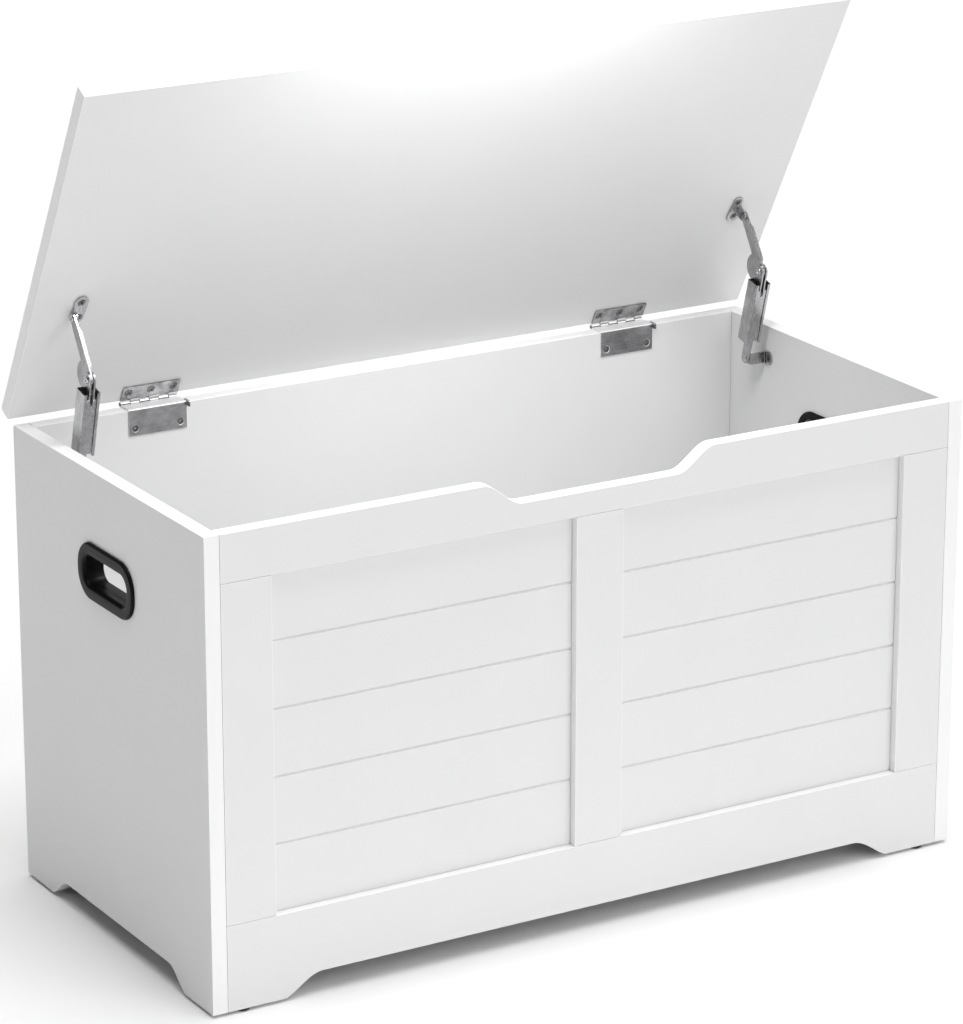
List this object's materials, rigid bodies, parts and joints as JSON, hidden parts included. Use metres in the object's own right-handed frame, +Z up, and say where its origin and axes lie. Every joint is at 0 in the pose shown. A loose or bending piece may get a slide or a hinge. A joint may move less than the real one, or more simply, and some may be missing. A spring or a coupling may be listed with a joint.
{
  "type": "toy chest",
  "caption": "White board toy chest with grooved front panels, a finger notch, a scalloped foot line, cut-out side handles and a lid held open by two folding spring stays.",
  "frame": {"origin": "on the floor under the centre of the open chest's bounding box", "axes": "+X to the chest's right seen from the front, +Y from the front to the back, +Z up; the front faces -Y"},
  "size_m": [0.808, 0.3962, 0.7991],
  "materials": {
    "laminate_board": "white melamine laminate on particle board, fine satin",
    "handle_plastic": "black moulded plastic, satin",
    "glide_plastic": "black plastic",
    "hinge_steel": "nickel-plated sheet steel",
    "stay_steel": "nickel-plated pressed steel",
    "screw_steel": "nickel-plated countersunk screws",
    "rivet_steel": "nickel-plated, turned",
    "spring_steel": "dark oiled spring wire",
    "nylon": "natural nylon"
  },
  "bodies": {
    "chest": {"left_side_panel": "laminate_board", "right_side_panel": "laminate_board", "back_panel": "laminate_board", "bottom_panel": "laminate_board", "top_rail": "laminate_board", "bottom_rail": "laminate_board", "left_stile": "laminate_board", "centre_stile": "laminate_board", "right_stile": "laminate_board", "left_grooved_panel": "laminate_board", "right_grooved_panel": "laminate_board", "front_left_glide": "glide_plastic", "front_right_glide": "glide_plastic", "back_left_glide": "glide_plastic", "back_right_glide": "glide_plastic", "left_handle_shell": "handle_plastic", "left_handle_ring": "handle_plastic", "left_hinge_body_leaf": "hinge_steel", "left_hinge_pin": "rivet_steel", "left_body_leaf_screw_1": "screw_steel", "left_body_leaf_screw_2": "screw_steel", "left_stay_side_bracket": "stay_steel", "left_side_bracket_screw_1": "screw_steel", "right_handle_shell": "handle_plastic", "right_handle_ring": "handle_plastic", "right_hinge_body_leaf": "hinge_steel", "right_hinge_pin": "rivet_steel", "right_body_leaf_screw_1": "screw_steel", "right_body_leaf_screw_2": "screw_steel", "right_stay_side_bracket": "stay_steel", "right_side_bracket_screw_1": "screw_steel"},
    "lid_group": {"lid": "laminate_board", "left_hinge_lid_leaf": "hinge_steel", "left_lid_leaf_screw_1": "screw_steel", "left_lid_leaf_screw_2": "screw_steel", "left_lid_leaf_screw_3": "screw_steel", "left_stay_lid_bracket": "stay_steel", "left_lid_bracket_screw_1": "screw_steel", "right_hinge_lid_leaf": "hinge_steel", "right_lid_leaf_screw_1": "screw_steel", "right_lid_leaf_screw_2": "screw_steel", "right_lid_leaf_screw_3": "screw_steel", "right_stay_lid_bracket": "stay_steel", "right_lid_bracket_screw_1": "screw_steel"},
    "left_stay_case": {"left_stay_housing": "stay_steel", "left_stay_inner_bar": "stay_steel", "left_stay_spring": "spring_steel", "left_stay_cam_follower": "nylon", "left_stay_elbow_rivet": "rivet_steel", "left_stay_lower_rivet": "rivet_steel"},
    "left_stay_link": {"left_stay_arm": "stay_steel", "left_stay_top_rivet": "rivet_steel"},
    "right_stay_case": {"right_stay_housing": "stay_steel", "right_stay_inner_bar": "stay_steel", "right_stay_spring": "spring_steel", "right_stay_cam_follower": "nylon", "right_stay_elbow_rivet": "rivet_steel", "right_stay_lower_rivet": "rivet_steel"},
    "right_stay_link": {"right_stay_arm": "stay_steel", "right_stay_top_rivet": "rivet_steel"}
  },
  "joints": [
    {"name": "lid_hinge", "type": "hinge", "parent": "chest", "child": "lid_group", "pos_m": [0, 0.18519, 0.44945], "axis": [1, 0, 0], "range_deg": [0, 61.7]},
    {"name": "left_stay_lower_pivot", "type": "hinge", "parent": "chest", "child": "left_stay_case", "pos_m": [-0.3655, 0.11289, 0.4158], "axis": [1, 0, 0], "range_deg": [0, 84]},
    {"name": "left_stay_elbow", "type": "hinge", "parent": "left_stay_case", "child": "left_stay_link", "pos_m": [-0.3655, 0.08789, 0.5105], "axis": [1, 0, 0], "range_deg": [-96.4, 0]},
    {"name": "right_stay_lower_pivot", "type": "hinge", "parent": "chest", "child": "right_stay_case", "pos_m": [0.3655, 0.11289, 0.4158], "axis": [1, 0, 0], "range_deg": [0, 84]},
    {"name": "right_stay_elbow", "type": "hinge", "parent": "right_stay_case", "child": "right_stay_link", "pos_m": [0.3655, 0.08789, 0.5105], "axis": [1, 0, 0], "range_deg": [-96.4, 0]}
  ],
  "couplings": [
    {"joint": "left_stay_lower_pivot", "follows": "lid_hinge", "ratio": 1.36},
    {"joint": "left_stay_elbow", "follows": "lid_hinge", "ratio": -1.56},
    {"joint": "right_stay_lower_pivot", "follows": "lid_hinge", "ratio": 1.36},
    {"joint": "right_stay_elbow", "follows": "lid_hinge", "ratio": -1.56}
  ]
}
